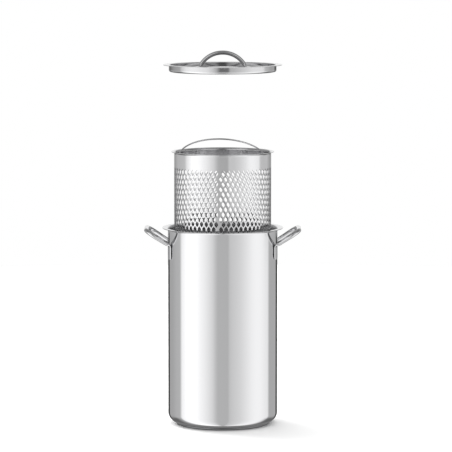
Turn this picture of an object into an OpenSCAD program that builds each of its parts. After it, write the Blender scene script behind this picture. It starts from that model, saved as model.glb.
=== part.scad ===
// Tall pasta pot with a lift-out perforated strainer and a plug lid, shown opened up:
// the strainer raised out of the pot, the lid above it and the strainer's bail leaning back.
// Millimetres, +Z up, +X through the side handles, origin at the centre of the base on the hob.

/* [Pot] */
// Outside diameter of the pot's wall
pot_d = 162; // [120:1:260]
// Height of the pot, from the hob to the pouring rim
pot_h = 292.5; // [200:0.5:340]
// Thickness of the pot's sheet
pot_t = 1.0; // [0.6:0.1:2]
// Outside radius between the pot's wall and its bottom
pot_corner_r = 14; // [8:0.5:25]
// Outside diameter of the pouring rim
pot_rim_d = 178.6; // [140:0.1:290]
// Radius of the bend under the pouring rim
pot_rim_r = 3; // [1.5:0.5:7]

/* [Base] */
// Outside diameter of the encapsulated base
base_d = 140; // [90:1:240]
// Height of the encapsulated base under the pot's bottom
base_h = 3; // [2.4:0.1:10]
// Thickness of the steel cap that encloses the core
base_cap_t = 0.8; // [0.5:0.1:2]
// Radius of the cap's lower edge
base_edge_r = 2.2; // [1:0.1:3]

/* [Side handles] */
// Diameter of the handle rod
grip_rod_d = 6.5; // [5:0.1:10]
// How far the handle reaches from the pot's axis
grip_reach = 115.5; // [105:0.5:190]
// Height of the handle's outer bar above the hob
grip_tip_z = 290; // [150:0.5:340]
// Height at which the legs meet the wall
grip_root_z = 268; // [140:0.5:320]
// Distance between the two legs where they meet the wall
grip_root_w = 50; // [36:1:90]
// Radius of the bend where a leg turns down into its foot
grip_knee_r = 5; // [3:0.5:10]
// Bend radius at the two outer corners
grip_corner_r = 13; // [8:0.5:20]
// Width of a flattened foot
grip_foot_w = 14; // [10:0.5:24]
// Height of a flattened foot below the root
grip_foot_h = 20.5; // [12:0.5:30]
// Thickness of a flattened foot
grip_foot_t = 2.4; // [1.5:0.1:4]

/* [Lid] */
// Outside diameter of the lid's flange
lid_d = 175.5; // [130:0.1:280]
// Thickness of the lid's sheet
lid_t = 0.8; // [0.5:0.1:2]
// Depth of the plug that drops into the pot
lid_plug_h = 10; // [6:0.5:20]
// Gap between the lid's plug and the pot's bore, on each side
lid_fit = 0.8; // [0.3:0.1:3]
// Radius of the lid's crowned panel, where it meets the groove
lid_panel_r = 67; // [45:1:110]
// Rise of the crown from the groove to the middle
lid_crown = 5; // [2:0.5:12]
// How far the middle of the crown lies below the flange
lid_sink = 3.2; // [0.5:0.1:5]
// Radius of the bend where the groove turns up into the plug
lid_groove_r = 2.6; // [1.5:0.1:3.5]
// Radius of the bend from the plug out into the flange
lid_flange_r = 1; // [0.5:0.1:3]
// Height of the lid's flange above the pot's rim, as shown
lid_raise = 239.5; // [165:0.5:320]

/* [Lid handle] */
// Diameter of the handle rod
knob_rod_d = 6.2; // [4:0.1:8]
// Height of the arch above the panel
knob_h = 25; // [18:0.5:40]
// Distance between the two bends at the feet
knob_w = 69; // [50:1:90]
// Slope of the arch's legs
knob_slope = 54; // [45:1:70]
// Radius of the bend where a leg turns out into its foot
knob_knee_r = 4; // [2:0.5:8]
// Length of a flattened foot
knob_foot_l = 12; // [9:0.5:18]
// Width of a flattened foot
knob_foot_w = 12; // [8:0.5:20]
// Thickness of a flattened foot
knob_foot_t = 1.8; // [1.2:0.1:3]

/* [Strainer] */
// Outside diameter of the strainer's wall
strainer_d = 143; // [100:1:240]
// Height of the strainer, from its foot to its rim
strainer_h = 253; // [150:1:320]
// Thickness of the strainer's sheet
strainer_t = 0.8; // [0.5:0.1:1.5]
// Outside diameter of the strainer's flared rim
strainer_rim_d = 151.6; // [110:0.1:250]
// Radius of the bend under the strainer's rim
strainer_rim_r = 2.5; // [1:0.1:3.5]
// How far the strainer is lifted off the pot's floor, as shown
strainer_raise = 148; // [60:0.5:200]
// Plain band between the rim and the first row of holes
band_top = 22.8; // [16:0.1:50]
// Plain band at the strainer's foot
band_foot = 9; // [5:0.5:30]
// Holes in one row, round the wall
hole_cols = 30; // [16:1:40]
// Width of a hole
hole_w = 10.4; // [3:0.1:14]
// Height of a hole
hole_h = 17.2; // [5:0.1:24]
// Height from one staggered row to the next
row_step = 14.9; // [8:0.1:24]
// Width of the plain strip along the welded seam
seam_w = 4; // [2:0.1:12]
// How far round from the front the seam lies
seam_turn = -2.7; // [-30:0.1:30]

/* [Strainer base] */
// Height of the strainer's bottom above its foot
floor_lift = 5; // [3:0.5:10]
// Height of the bottom's welded flange
floor_flange_h = 7; // [4:0.5:14]
// Radius between the bottom and its flange
floor_corner_r = 3; // [2:0.5:4]
// Diameter of a drain hole
drain_d = 7; // [3:0.1:8]
// Distance between the rings of drain holes
drain_step = 12; // [10:0.1:18]

/* [Bail] */
// Diameter of the bail's wire
wire_d = 2.2; // [1.6:0.1:4]
// Radius of the bail's arch
bail_r = 65; // [45:0.5:110]
// Depth of the bail's pivots below the strainer's rim
pivot_drop = 12; // [8:0.5:18]
// Lean of the bail above the horizontal, as shown and at its stops
bail_lean = 22.5; // [18:0.5:60]
// Running gap between the wire and the ear's bore
wire_fit = 0.15; // [0.05:0.05:0.4]
// Thickness of an ear's sheet
ear_t = 1.2; // [0.8:0.1:2]
// Width of an ear
ear_w = 14.4; // [12:0.2:20]
// Height of an ear above its pivot
ear_rise = 5.5; // [3:0.5:9]
// Depth of an ear below its pivot
ear_drop = 7; // [5:0.5:12]
// How far round from the side handles the two ears stand
ear_turn = 6.6; // [-30:0.1:30]

/* [Hidden] */

// Steps in a full turn of a revolved or round form
ROUND = 120;
// Steps in a rounded corner of a profile
CORNER_STEPS = 8;
// Steps in the lid's crown
CROWN_STEPS = 10;
// Sides of a swept rod
ROD_SIDES = 16;
// Overrun of a cut past the faces it opens
CUT = 1;
// Gap that keeps a flat foot's facets off the round face it is welded to
SEAT = 0.03;
// Run over which a pressed foot grows round again, in radii of its knee
PRESS = 1.7;
// Bend between the crowned panel and the groove, in radii of the groove's own bend
LID_PANEL_BEND = 0.77;
// Side gap between an ear's plate and the bail's leg
EAR_GAP = 0.4;
// Gap left between the resting bail and its stops
STOP_GAP = 0.2;
// How far an ear's flanges reach in past the leg they stop
STOP_REACH = 1;
// Length of wire that shows outside an ear
WIRE_TIP = 1.6;
// Inner radius of the wire's tight bends
WIRE_INNER_R = 0.5;
// Share of a foot's width that its very tip keeps
FOOT_TIP = 0.25;
// How much of the arch's straight legs the arch's bend uses up
ARCH_SHARE = 0.98;

pot_r = pot_d / 2;
pot_bore_r = pot_r - pot_t;
pot_floor_z = base_h + pot_t;
base_r = base_d / 2;
base_core_r = base_r - base_cap_t;
// Rise of the rounded corner over the core's edge, which the cap's wall closes
cap_reach = max(0, base_core_r - (pot_r - pot_corner_r));
cap_rise = pot_corner_r - sqrt(pow(pot_corner_r, 2) - pow(cap_reach, 2));

grip_rod_r = grip_rod_d / 2;
// Azimuth of a leg on the wall: each leg runs square out of the wall, so the loop widens outwards
grip_turn = asin(grip_root_w / 2 / pot_r);
grip_foot_x = pot_r + grip_foot_t / 2 + SEAT;
grip_bar_x = grip_reach - grip_rod_r;

lid_z = pot_h + lid_raise;
lid_plug_r = pot_bore_r - lid_fit;
lid_crown_r = (pow(lid_panel_r, 2) + pow(lid_crown, 2)) / (2 * lid_crown);
lid_top_z = lid_z + lid_t - lid_sink;

knob_rod_r = knob_rod_d / 2;
knob_top_z = lid_top_z - fall(knob_w / 2) + knob_h - knob_rod_r;

strainer_r = strainer_d / 2;
strainer_bore_r = strainer_r - strainer_t;
strainer_foot_z = pot_floor_z + strainer_raise;
strainer_rim_z = strainer_foot_z + strainer_h;
hole_zone = strainer_h - band_top - band_foot - hole_h;
hole_rows = floor(hole_zone / row_step) + 1;
hole_top_z = strainer_rim_z - band_top - hole_h / 2;
hole_pitch = 360 / hole_cols;

floor_r = strainer_bore_r;
floor_z = strainer_foot_z + floor_lift;
drain_rings = floor((floor_r - floor_corner_r - drain_d) / drain_step);

wire_r = wire_d / 2;
pivot_z = strainer_rim_z - pivot_drop;
// An ear's plate lies outside the bail's leg, and the leg's end passes through it
ear_x = bail_r + wire_r + EAR_GAP;
ear_top_z = pivot_z + ear_rise;
ear_foot_z = pivot_z - ear_drop;
// The flanges' upper edges stop the bail's legs at the stated lean
ear_flange_y = ear_w / 2 - ear_t;
ear_stop_z = pivot_z + ear_flange_y * tan(bail_lean) - wire_r / cos(bail_lean) - STOP_GAP;
// The flanges reach in past the leg they stop
ear_flange_x = bail_r - wire_r - STOP_REACH;
wire_tip_x = ear_x + ear_t + WIRE_TIP;
// Each leg turns out through its ear at this radius
elbow_r = wire_r + WIRE_INNER_R;

// How far the crowned panel falls from its middle to the radius r
function fall(r) = lid_crown_r - sqrt(pow(lid_crown_r, 2) - pow(r, 2));

function unit(v) = v / norm(v);

// Points of the arc of radius r that rounds the corner b between a and c
function fillet(a, b, c, r) =
    let (
        u = unit(a - b),
        v = unit(c - b),
        half = acos(u * v) / 2,
        inward = unit(u + v),
        along = unit(u - v),
        centre = b + inward * r / sin(half)
    )
    [for (i = [0:CORNER_STEPS])
        let (t = (90 - half) * (1 - 2 * i / CORNER_STEPS))
        centre + r * (along * sin(t) - inward * cos(t))];

// A path through the points, its inner corners rounded at the radii
function rounded(points, radii) =
    let (last = len(points) - 1)
    concat(
        [points[0]],
        [for (i = [1:1:last - 1]) each radii[i - 1] > 0
            ? fillet(points[i - 1], points[i], points[i + 1], radii[i - 1])
            : [points[i]]],
        [points[last]]
    );

// Direction of the path at one of its points
function heading(path, i) = unit(path[min(i + 1, len(path) - 1)] - path[max(i - 1, 0)]);

// Square to a flat path at one of its points, and upright where it starts on the axis
function square_to(path, i) =
    let (d = heading(path, i))
    path[i][0] == 0 ? [0, 1] : [-d[1], d[0]];

// The outline of a sheet of thickness t whose middle follows the path
function sheet(path, t) =
    let (last = len(path) - 1)
    concat(
        [for (i = [0:last]) path[i] + square_to(path, i) * t / 2],
        [for (i = [last:-1:0]) path[i] - square_to(path, i) * t / 2]
    );

// The outline of a sheet that follows the points and flares at the last of them to the radius rim_r,
// the last of the radii kept within the flare. A rim no wider than its wall is a tapered edge
function flared(points, radii, rim_r, t) =
    let (
        last = len(points) - 1,
        corner = points[last],
        width = rim_r - corner[0],
        top = corner[1] + t / 2
    )
    width > t || width < -t / 2
        ? sheet(
            rounded(
                concat(points, [[rim_r, corner[1]]]),
                [for (i = [0:last - 1]) i < last - 1 ? radii[i] : min(radii[i], abs(width) - t / 2)]
            ),
            t
        )
        : let (
            side = sheet(rounded(concat([for (i = [0:last - 1]) points[i]], [[corner[0], top]]), radii), t),
            half = len(side) / 2
        )
        concat(
            [for (i = [0:half - 1]) side[i]],
            [[rim_r, top], [corner[0] + t / 2, top - t]],
            [for (i = [half + 1:2 * half - 1]) side[i]]
        );

// A form revolved from the outline of its sheet
module spun(outline) {
    rotate_extrude($fn = ROUND) polygon(outline);
}

// Distance along a path to one of its points
function run(path, i) = i == 0 ? 0 : run(path, i - 1) + norm(path[i] - path[i - 1]);

// From 0 to 1 with a soft start and end
function ease(t) = let (k = min(1, max(0, t))) k * k * (3 - 2 * k);

// A rod swept along a path, its two ends pressed into flat feet that grow round over the run press_l.
// sides holds, for each point, the direction in which the foot there is wide
module footed_rod(path, sides, rod_r, foot_w, foot_t, flat_l, press_l) {
    last = len(path) - 1;
    total = run(path, last);
    rings = [for (i = [0:last])
        let (
            from_end = min(run(path, i), total - run(path, i)),
            pressed = 1 - ease((from_end - flat_l) / press_l),
            tip = sqrt(1 - pow(1 - min(1, FOOT_TIP + from_end / (foot_w / 2)), 2)),
            half_w = rod_r + (foot_w / 2 * tip - rod_r) * pressed,
            half_t = rod_r + (foot_t / 2 - rod_r) * pressed,
            d = heading(path, i),
            up = unit(cross(sides[i], d)),
            side = cross(d, up)
        )
        for (k = [0:ROD_SIDES - 1])
            let (t = 360 * k / ROD_SIDES)
            path[i] + side * half_w * cos(t) + up * half_t * sin(t)];
    walls = [for (i = [0:last - 1], k = [0:ROD_SIDES - 1])
        let (
            a = i * ROD_SIDES + k,
            b = i * ROD_SIDES + (k + 1) % ROD_SIDES,
            c = a + ROD_SIDES,
            d = b + ROD_SIDES
        )
        each [[a, c, b], [b, c, d]]];
    ends = [
        [for (k = [0:ROD_SIDES - 1]) k],
        [for (k = [ROD_SIDES - 1:-1:0]) last * ROD_SIDES + k]
    ];
    polyhedron(points = rings, faces = concat(walls, ends), convexity = 4);
}

// A whole path from its first half, which ends on the mirror plane square to the axis given
function both_halves(half, axis) =
    concat(half, [for (i = [len(half) - 2:-1:0])
        [for (k = [0:2]) k == axis ? -half[i][k] : half[i][k]]]);

// Points along a straight line, its first end left out
function steps(a, b, count) = [for (i = [1:count]) a + (b - a) * i / count];

// A round wire between two points on the X axis
module pin(x0, x1, r) {
    translate([x0, 0, 0]) rotate([0, 90, 0]) cylinder(r = r, h = x1 - x0, $fn = ROUND);
}

// A wire's bend in the XY plane, from the +X side by the given angle
module wire_bend(bend_r, angle, r) {
    rotate_extrude(angle = angle, $fn = ROUND) translate([bend_r, 0]) circle(r = r, $fn = ROUND);
}

module pot_body() {
    wall_r = pot_r - pot_t / 2;
    floor_mid = base_h + pot_t / 2;
    rim_mid = pot_h - pot_t / 2;
    color("silver")
        spun(flared(
            [[0, floor_mid], [wall_r, floor_mid], [wall_r, rim_mid]],
            [pot_corner_r - pot_t / 2, pot_rim_r + pot_t / 2], pot_rim_d / 2, pot_t
        ));
}

module base_core() {
    color("gainsboro")
        rotate_extrude($fn = ROUND)
            polygon(concat(
                [[0, base_cap_t]],
                fillet([0, base_cap_t], [base_core_r, base_cap_t], [base_core_r, base_h], base_edge_r - base_cap_t),
                [[base_core_r, base_h], [0, base_h]]
            ));
}

module base_cap() {
    mid = base_cap_t / 2;
    cap_top_z = base_h + cap_rise - 0.05;
    color("darkgray")
        spun(sheet(
            rounded([[0, mid], [base_r - mid, mid], [base_r - mid, cap_top_z]], [base_edge_r - mid]),
            base_cap_t
        ));
}

// The handle on the +X side: a loop of rod that rises outwards, on two feet welded to the wall
module side_handle() {
    out = [cos(grip_turn), sin(grip_turn), 0];
    bar = out * grip_bar_x / cos(grip_turn) + [0, 0, grip_tip_z];
    foot = out * grip_foot_x + [0, 0, grip_root_z - grip_foot_h];
    knee = out * grip_foot_x + [0, 0, grip_root_z];
    middle = [bar[0], 0, bar[2]];
    knee_arc = fillet(foot, knee, bar, grip_knee_r);
    corner_arc = fillet(knee, bar, middle, grip_corner_r);
    half = concat(
        [foot], steps(foot, knee_arc[0], 6), [for (i = [1:CORNER_STEPS]) knee_arc[i]],
        steps(knee_arc[CORNER_STEPS], corner_arc[0], 5), [for (i = [1:CORNER_STEPS]) corner_arc[i]],
        [middle]
    );
    path = both_halves(half, 1);
    across = [-sin(grip_turn), cos(grip_turn), 0];
    // Feet are wide along the wall; the loop's own sides follow its plane
    rise = unit(cross([0, 1, 0], bar - knee));
    in_foot = 7 + CORNER_STEPS;
    half_sides = [for (i = [0:len(half) - 1]) i < in_foot ? across : cross(heading(path, i), rise)];
    sides = concat(half_sides, [for (i = [len(half) - 2:-1:0])
        i < in_foot ? [across[0], -across[1], 0] : cross(heading(path, len(path) - 1 - i), rise)]);
    footed_rod(
        path, sides, grip_rod_r, grip_foot_w, grip_foot_t, norm(knee_arc[0] - foot), PRESS * grip_knee_r
    );
}

module side_handle_left() {
    color("silver") mirror([1, 0, 0]) side_handle();
}

module side_handle_right() {
    color("silver") side_handle();
}

module lid_shell() {
    plug_mid_r = lid_plug_r - lid_t / 2;
    groove_z = lid_z - lid_plug_h + lid_t / 2;
    flange_z = lid_z + lid_t / 2;
    crown_top = lid_top_z - lid_t / 2;
    crown = [for (i = [0:CROWN_STEPS])
        let (r = lid_panel_r * i / CROWN_STEPS)
        [r, crown_top - lid_crown_r + sqrt(pow(lid_crown_r, 2) - pow(r, 2))]];
    groove_in_r = (lid_panel_r + plug_mid_r) / 2 - lid_t;
    smooth = [for (i = [1:CROWN_STEPS]) 0];
    color("silver")
        spun(flared(
            concat(crown, [[groove_in_r, groove_z], [plug_mid_r, groove_z], [plug_mid_r, flange_z]]),
            concat(smooth, [LID_PANEL_BEND * lid_groove_r, lid_groove_r, lid_flange_r]),
            lid_d / 2, lid_t
        ));
}

// The lid's handle: an arch of rod over the crown, on two feet welded to it
module lid_handle() {
    foot_x = knob_w / 2 + knob_foot_l;
    // A flat foot rests on the crown at the middle of its length
    foot_mid = knob_foot_t / 2 + SEAT + pow(knob_foot_l, 2) / (8 * lid_crown_r);
    foot = [foot_x, 0, lid_top_z - fall(foot_x) + foot_mid];
    knee = [knob_w / 2, 0, lid_top_z - fall(knob_w / 2) + foot_mid];
    top_x = knob_w / 2 - (knob_top_z - knee[2]) / tan(knob_slope);
    top = [top_x, 0, knob_top_z];
    middle = [0, 0, knob_top_z];
    arch_r = ARCH_SHARE * top_x / tan(knob_slope / 2);
    knee_arc = fillet(foot, knee, top, knob_knee_r);
    arch = fillet(knee, top, middle, arch_r);
    half = concat(
        [foot], steps(foot, knee_arc[0], 5), [for (i = [1:CORNER_STEPS]) knee_arc[i]],
        steps(knee_arc[CORNER_STEPS], arch[0], 3), [for (i = [1:CORNER_STEPS]) arch[i]], [middle]
    );
    path = both_halves(half, 0);
    color("silver")
        footed_rod(
            path, [for (p = path) [0, 1, 0]], knob_rod_r, knob_foot_w, knob_foot_t,
            norm(knee_arc[0] - foot), PRESS * knob_knee_r
        );
}

// A long hexagon, square to the wall
module strainer_hole(turn, z) {
    rotate([0, 0, turn])
        translate([0, -strainer_bore_r + CUT, z])
            rotate([90, 0, 0])
                linear_extrude(height = strainer_t + 2 * CUT)
                    polygon([
                        [hole_w / 2, hole_h / 4], [0, hole_h / 2], [-hole_w / 2, hole_h / 4],
                        [-hole_w / 2, -hole_h / 4], [0, -hole_h / 2], [hole_w / 2, -hole_h / 4]
                    ]);
}

module strainer_wall() {
    wall_r = strainer_r - strainer_t / 2;
    rim_mid = strainer_rim_z - strainer_t / 2;
    color("lightgray")
        difference() {
            spun(flared(
                [[wall_r, strainer_foot_z], [wall_r, rim_mid]],
                [strainer_rim_r + strainer_t / 2], strainer_rim_d / 2, strainer_t
            ));
            for (row = [0:hole_rows - 1], col = [0:hole_cols - 1])
                let (
                    turn = (col + (row % 2) / 2) * hole_pitch,
                    off_seam = strainer_r * PI / 180 * min(turn, 360 - turn)
                )
                if (off_seam > (hole_w + seam_w) / 2)
                    strainer_hole(turn + seam_turn, hole_top_z - row * row_step);
        }
}

module strainer_base() {
    flange_mid = floor_r - strainer_t / 2;
    color("lightgray")
        difference() {
            spun(sheet(
                rounded(
                    [[0, floor_z], [flange_mid, floor_z], [flange_mid, floor_z + floor_flange_h]],
                    [floor_corner_r]
                ),
                strainer_t
            ));
            for (ring = [0:drain_rings])
                let (count = max(1, 6 * ring))
                for (i = [0:count - 1])
                    rotate([0, 0, (i + (ring % 2) / 2) * 360 / count])
                        translate([ring * drain_step, 0, floor_z - strainer_t])
                            cylinder(d = drain_d, h = 2 * strainer_t, $fn = ROUND);
        }
}

// The ear before it is turned to its place: a folded bracket welded inside the plain band, with a
// bore for the bail
module bail_ear() {
    color("silver")
        difference() {
            intersection() {
                translate([0, 0, ear_foot_z])
                    cylinder(r = strainer_bore_r, h = ear_top_z - ear_foot_z, $fn = ROUND);
                union() {
                    translate([ear_x, -ear_w / 2, ear_foot_z])
                        cube([ear_t, ear_w, ear_top_z - ear_foot_z]);
                    for (side = [0, 1])
                        mirror([0, side, 0])
                            translate([ear_flange_x, ear_flange_y, ear_foot_z])
                                cube([strainer_r - ear_flange_x, ear_t, ear_stop_z - ear_foot_z]);
                }
            }
            translate([ear_x - CUT, 0, pivot_z])
                rotate([0, 90, 0]) cylinder(r = wire_r + wire_fit, h = ear_t + 2 * CUT, $fn = ROUND);
        }
}

module bail_ear_left() {
    rotate([0, 0, ear_turn]) mirror([1, 0, 0]) bail_ear();
}

module bail_ear_right() {
    rotate([0, 0, ear_turn]) bail_ear();
}

module bail() {
    color("dimgray")
        translate([0, 0, pivot_z])
            rotate([0, 0, ear_turn]) rotate([bail_lean, 0, 0]) {
                translate([0, elbow_r, 0]) wire_bend(bail_r, 180, wire_r);
                for (side = [0, 1])
                    mirror([side, 0, 0]) {
                        translate([bail_r + elbow_r, elbow_r, 0])
                            rotate([0, 0, 180]) wire_bend(elbow_r, 90, wire_r);
                        pin(bail_r + elbow_r, wire_tip_x, wire_r);
                    }
            }
}

pot_body();
base_core();
base_cap();
side_handle_left();
side_handle_right();
lid_shell();
lid_handle();
strainer_wall();
strainer_base();
bail_ear_left();
bail_ear_right();
bail();
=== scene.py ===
"""Looks of a tall pasta pot with a raised strainer insert and a lid above it.

Every piece is a closed surface made from measured profiles and paths, in metres, in the frame
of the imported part: +Z up, +X to the right-hand side handle, -Y towards the viewer.
"""

import logging
import math
from dataclasses import dataclass, field
from enum import Enum
from functools import cache

import bpy
import numpy as np
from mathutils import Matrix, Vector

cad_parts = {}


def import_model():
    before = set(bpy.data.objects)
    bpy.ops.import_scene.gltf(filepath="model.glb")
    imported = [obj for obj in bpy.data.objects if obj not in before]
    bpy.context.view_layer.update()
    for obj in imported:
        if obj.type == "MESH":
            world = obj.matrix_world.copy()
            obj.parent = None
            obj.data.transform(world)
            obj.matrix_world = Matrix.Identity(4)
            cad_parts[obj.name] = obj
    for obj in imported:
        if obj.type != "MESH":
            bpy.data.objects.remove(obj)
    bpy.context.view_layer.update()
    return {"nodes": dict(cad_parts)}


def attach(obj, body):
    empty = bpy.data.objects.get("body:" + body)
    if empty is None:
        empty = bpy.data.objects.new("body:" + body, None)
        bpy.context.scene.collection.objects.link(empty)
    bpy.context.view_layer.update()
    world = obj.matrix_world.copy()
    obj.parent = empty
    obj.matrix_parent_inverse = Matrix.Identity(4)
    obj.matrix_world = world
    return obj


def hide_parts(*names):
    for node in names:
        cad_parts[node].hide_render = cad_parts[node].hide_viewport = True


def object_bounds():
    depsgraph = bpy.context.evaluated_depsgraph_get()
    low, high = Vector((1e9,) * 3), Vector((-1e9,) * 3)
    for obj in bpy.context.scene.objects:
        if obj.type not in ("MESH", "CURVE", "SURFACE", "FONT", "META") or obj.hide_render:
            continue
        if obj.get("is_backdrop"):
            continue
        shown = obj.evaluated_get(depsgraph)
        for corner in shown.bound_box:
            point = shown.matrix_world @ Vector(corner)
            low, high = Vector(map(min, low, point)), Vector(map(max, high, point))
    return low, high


log = logging.getLogger("pasta_pot")

MM = 0.001
ROUND = 192  # sides of a turned piece
SOFT_ROUND = 96  # sides of a turned stage piece
TURNED_STEP = 6 * MM  # longest stretch in the outline of a turned sheet
FINE_STEP = 4 * MM  # the same on the lid and on the strainer's rim
WELD_GAP = 0.03 * MM  # left between a welded foot and the sheet under it
PRESS_RUN = 1.7  # run over which a pressed foot grows round again, in radii of the knee
SHARP = math.radians(38)  # edges that turn further are sharp
Array = np.ndarray
Tree = bpy.types.NodeTree
Socket = bpy.types.NodeSocket


@dataclass(frozen=True)
class PotSizes:
    """Sizes of the pot's drawn shell and its base, in metres."""

    radius: float = 81 * MM
    height: float = 292.5 * MM
    sheet: float = 1 * MM
    corner_r: float = 14 * MM
    rim_radius: float = 89.3 * MM
    rim_r: float = 3 * MM
    base_radius: float = 70 * MM
    base_height: float = 3 * MM
    cap_sheet: float = 0.8 * MM
    cap_edge_r: float = 2.2 * MM
    cap_gap: float = 0.05 * MM

    @property
    def cap_rise(self) -> float:
        """How far the rounded corner has risen over the core's edge."""
        reach = max(0.0, self.base_radius - self.cap_sheet - (self.radius - self.corner_r))
        return self.corner_r - math.sqrt(self.corner_r**2 - reach**2)


@dataclass(frozen=True)
class GripSizes:
    """Sizes of one side handle, bent from rod, in metres."""

    rod_r: float = 3.25 * MM
    reach: float = 115.5 * MM
    tip_z: float = 290 * MM
    root_z: float = 268 * MM
    root_w: float = 50 * MM
    knee_r: float = 5 * MM
    corner_r: float = 13 * MM
    foot_w: float = 14 * MM
    foot_h: float = 20.5 * MM
    foot_t: float = 2.4 * MM
    step: float = 1.6 * MM


@dataclass(frozen=True)
class LidSizes:
    """Sizes of the plug lid, in metres."""

    flange_z: float = 532 * MM
    radius: float = 87.75 * MM
    sheet: float = 0.8 * MM
    plug_radius: float = 79.2 * MM
    plug_h: float = 10 * MM
    panel_radius: float = 67 * MM
    crown: float = 5 * MM
    sink: float = 3.2 * MM
    bends: tuple[float, float, float] = (2 * MM, 2.6 * MM, 1 * MM)

    @property
    def top_z(self) -> float:
        """Height of the crown's middle."""
        return self.flange_z + self.sheet - self.sink

    @property
    def crown_r(self) -> float:
        """Radius of the crown's sphere."""
        return (self.panel_radius**2 + self.crown**2) / (2 * self.crown)

    def fall(self, r: float | Array) -> float | Array:
        """How far the crown lies below its middle at the radius r."""
        return self.crown_r - np.sqrt(self.crown_r**2 - np.square(r))


@dataclass(frozen=True)
class KnobSizes:
    """Sizes of the lid's arched handle, in metres."""

    rod_r: float = 3.1 * MM
    height: float = 25 * MM
    width: float = 69 * MM
    slope: float = math.radians(54)
    knee_r: float = 4 * MM
    foot_l: float = 12 * MM
    foot_w: float = 12 * MM
    foot_t: float = 1.8 * MM
    step: float = 1.5 * MM
    arch_fit: float = 0.98


@dataclass(frozen=True)
class StrainerSizes:
    """Sizes of the strainer's wall and of the lattice punched in it, in metres and radians."""

    radius: float = 71.5 * MM
    sheet: float = 0.8 * MM
    foot_z: float = 152 * MM
    rim_z: float = 405 * MM
    rim_radius: float = 75.8 * MM
    rim_r: float = 2.5 * MM
    band_top: float = 22.8 * MM
    band_foot: float = 9 * MM
    columns: int = 60
    seam: float = math.radians(2.7)
    seam_turn: float = math.radians(-3.2)
    row_step: float = 7.45 * MM
    hole_half_w: float = 2.7 * MM
    hole_side: float = 1.3 * MM
    hole_apex: float = 4.9 * MM
    apex_cut: float = 0.6 * MM
    side_cut: float = 0.45 * MM
    field_edge: float = 0.8 * MM

    @property
    def pitch(self) -> float:
        """Angle from one hole to the next in a row."""
        return (2 * math.pi - self.seam) / self.columns

    @property
    def slope(self) -> float:
        """Slope of a hole's slanted sides."""
        return (self.hole_apex - self.hole_side) / self.hole_half_w

    @property
    def apex_loss(self) -> float:
        """Height that the cut takes off a hole's apex."""
        return self.apex_cut * self.slope / math.hypot(1, self.slope)


@dataclass(frozen=True)
class BailSizes:
    """Sizes of the strainer's wire bail, in metres."""

    wire_r: float = 1.1 * MM
    radius: float = 65 * MM
    elbow_r: float = 1.6 * MM
    tip: float = 69.3 * MM
    tip_cut: float = 0.2 * MM
    pivot_z: float = 393 * MM
    lean: float = math.radians(22.5)
    turn: float = math.radians(6.6)


class Lay(Enum):
    """Direction of the fine lines that polishing leaves, as scales of noise along X, Y and Z."""

    TURNED = (14.0, 14.0, 900.0)
    DRAWN = (220.0, 60.0, 220.0)
    ROLLED = (260.0, 260.0, 30.0)


@dataclass(frozen=True)
class Finish:
    """One metal surface.

    Attributes:
        slot: the record's material slot; not used.
        colour: reflectance of the metal; on the base cap this grey also holds painted shade.
        roughness: roughness of the clean metal.
        spread: how far the roughness wanders with wear.
        depth: depth of the polishing lines, in metres.
        lay: direction of the polishing lines.
        metallic: share of the surface that mirrors; the rest scatters like a brushed skin.
    """

    slot: str
    colour: tuple[float, float, float]
    roughness: float
    spread: float
    depth: float
    lay: Lay
    metallic: float = 1.0


class Metal(Enum):
    """The metals of the pot."""

    POLISHED = Finish("polished_steel", (0.78, 0.78, 0.79), 0.075, 0.05, 3e-6, Lay.TURNED)
    # The base cap's dark grey is partly its duller satin steel and partly painted shade: it stands
    # for the floor's contact shadow that the cap's side reflects
    SHADED_SATIN = Finish("base_steel", (0.4, 0.4, 0.41), 0.3, 0.1, 8e-6, Lay.TURNED)
    CORE = Finish("base_aluminium", (0.8, 0.8, 0.82), 0.3, 0.1, 8e-6, Lay.TURNED)
    ROD = Finish("handle_steel", (0.76, 0.76, 0.77), 0.08, 0.05, 3e-6, Lay.DRAWN)
    SHEET = Finish("strainer_steel", (0.77, 0.77, 0.78), 0.09, 0.06, 3e-6, Lay.ROLLED)
    WIRE = Finish("wire_steel", (0.7, 0.7, 0.71), 0.12, 0.05, 3e-6, Lay.DRAWN)
    BORE = Finish("polished_steel", (0.6, 0.6, 0.61), 0.26, 0.1, 6e-6, Lay.TURNED, 0.65)
    LINING = Finish("strainer_steel", (0.7, 0.7, 0.71), 0.1, 0.04, 3e-6, Lay.ROLLED)


def add_node(tree: Tree, kind: str, **inputs: object) -> bpy.types.Node:
    """Adds a node and sets its constant inputs.

    Args:
        tree: the node tree.
        kind: the node's type.
        inputs: values by socket name, spaces written as underscores.

    Returns:
        The new node.
    """
    node = tree.nodes.new(kind)
    for name, value in inputs.items():
        node.inputs[name.replace("_", " ")].default_value = value
    return node


def math_node(tree: Tree, operation: str, *operands: object) -> Socket:
    """Adds a Math node.

    Args:
        tree: the node tree.
        operation: the node's operation.
        operands: numbers, or sockets to link.

    Returns:
        The node's output.
    """
    node = tree.nodes.new("ShaderNodeMath")
    node.operation = operation
    for socket, operand in zip(node.inputs, operands):
        if isinstance(operand, Socket):
            tree.links.new(operand, socket)
        else:
            socket.default_value = operand
    return node.outputs[0]


def mix_shader(
    tree: Tree, share: Socket, first: bpy.types.Node, second: bpy.types.Node
) -> bpy.types.Node:
    """Adds a Mix Shader node.

    Args:
        tree: the node tree.
        share: the second shader's share.
        first: the first shader.
        second: the second shader.

    Returns:
        The new node.
    """
    node = tree.nodes.new("ShaderNodeMixShader")
    for socket, source in zip(node.inputs, (share, first.outputs[0], second.outputs[0])):
        tree.links.new(source, socket)
    return node


def empty_tree(owner: bpy.types.Material | bpy.types.World) -> Tree:
    """The node tree of a new material or world, with its nodes taken out.

    Args:
        owner: the material or the world.

    Returns:
        Its node tree.
    """
    owner.use_nodes = True
    owner.node_tree.nodes.clear()
    return owner.node_tree


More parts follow.
